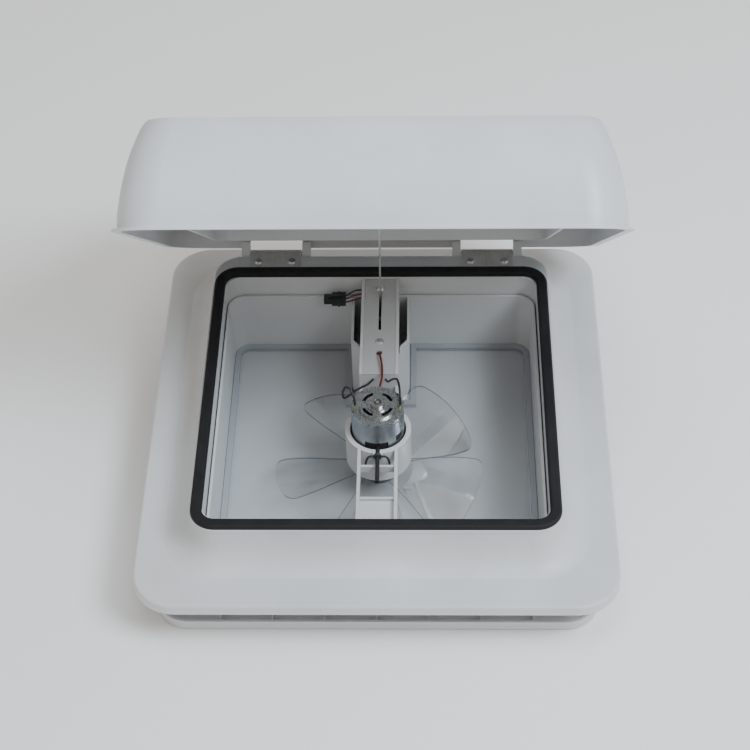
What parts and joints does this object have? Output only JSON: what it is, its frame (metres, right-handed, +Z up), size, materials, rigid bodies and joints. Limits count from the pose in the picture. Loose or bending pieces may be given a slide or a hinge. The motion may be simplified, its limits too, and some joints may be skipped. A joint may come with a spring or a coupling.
{
  "type": "roof vent cover",
  "caption": "Square roof vent with a raised hinged lid, black lid seal, crossbar, clear fan, insect screen and room-side garnish.",
  "frame": {"origin": "centre of the square roof cut-out, on the outer roof surface where the flange rests", "axes": "+Z up and out of the roof, +Y towards the lid's hinge, +X to the right for someone who looks along +Y"},
  "size_m": [0.46, 0.503, 0.4366],
  "materials": {
    "shell_white": "satin moulded plastic",
    "lid_white": "satin moulded plastic",
    "seal_rubber": "matt foam rubber",
    "mesh_white": "fine woven mesh",
    "screw_steel": "zinc plated",
    "black_steel": "blackened",
    "motor_steel": "bright drawn",
    "brass": "plain",
    "magnet_grey": "matt ferrite",
    "black_plastic": "satin",
    "bracket_metal": "plain",
    "pin_steel": "ground",
    "arm_steel": "zinc plated",
    "gear_nylon": "satin nylon",
    "fan_clear": "clear moulding",
    "wire_black": "satin sleeve",
    "wire_red": "satin sleeve"
  },
  "bodies": {
    "frame": {"arm_axle": "pin_steel", "bar_cover": "shell_white", "bar_end_screws": "screw_steel", "base_frame": "shell_white", "control_housing": "shell_white", "cover_screws": "screw_steel", "garnish": "shell_white", "garnish_screws": "screw_steel", "gear_housing": "black_plastic", "hinge_bracket_left": "bracket_metal", "hinge_bracket_right": "bracket_metal", "hinge_pin_left": "pin_steel", "hinge_pin_right": "pin_steel", "hinge_screws": "screw_steel", "insect_screen": "mesh_white", "lid_gasket": "seal_rubber", "motor_brushes": "brass", "motor_bushes": "brass", "motor_can": "motor_steel", "motor_clamp_screw": "black_steel", "motor_clip": "black_plastic", "motor_end_cap": "motor_steel", "motor_lead_left": "wire_black", "motor_lead_red": "wire_red", "motor_lead_right": "wire_black", "motor_magnets": "magnet_grey", "motor_terminals": "brass", "screen_frame": "shell_white", "supply_connector": "black_plastic", "supply_wire_lower": "wire_red", "supply_wire_middle": "wire_red", "supply_wire_upper": "wire_black", "support_bar": "shell_white", "switch_body": "black_plastic"},
    "lid": {"lid_shell": "lid_white", "lid_track": "lid_white"},
    "lift_arm": {"lift_arm": "arm_steel", "sector_gear": "gear_nylon", "arm_slide_pin": "gear_nylon"},
    "crank": {"worm_shaft": "gear_nylon", "crank_knob": "shell_white", "knob_screw": "screw_steel"},
    "fan_rotor": {"motor_shaft": "pin_steel", "armature_core": "motor_steel", "commutator": "brass", "fan_impeller": "fan_clear", "fan_bushing": "brass"},
    "rocker": {"switch_rocker": "black_plastic"}
  },
  "joints": [
    {"name": "lid_hinge", "type": "hinge", "parent": "frame", "child": "lid", "pos_m": [0, 0.207, 0.045], "axis": [-1, 0, 0], "range_deg": [-45.5, 0]},
    {"name": "arm_swing", "type": "hinge", "parent": "frame", "child": "lift_arm", "pos_m": [0, 0.1315, 0.021], "axis": [-1, 0, 0], "range_deg": [-68.2, 0]},
    {"name": "crank_turn", "type": "hinge", "parent": "frame", "child": "crank", "pos_m": [0, 0.103, 0], "axis": [0, 0, 1], "range_deg": [0, 2452]},
    {"name": "fan_spin", "type": "hinge", "parent": "frame", "child": "fan_rotor", "pos_m": [0, -0.03, 0], "axis": [0, 0, 1], "continuous": true},
    {"name": "rocker_tilt", "type": "hinge", "parent": "frame", "child": "rocker", "pos_m": [0, 0.138, -0.034], "axis": [1, 0, 0], "range_deg": [-9, 9]}
  ],
  "couplings": [
    {"joint": "arm_swing", "follows": "lid_hinge", "ratio": 1.4967},
    {"joint": "crank_turn", "follows": "lid_hinge", "ratio": -53.881}
  ]
}
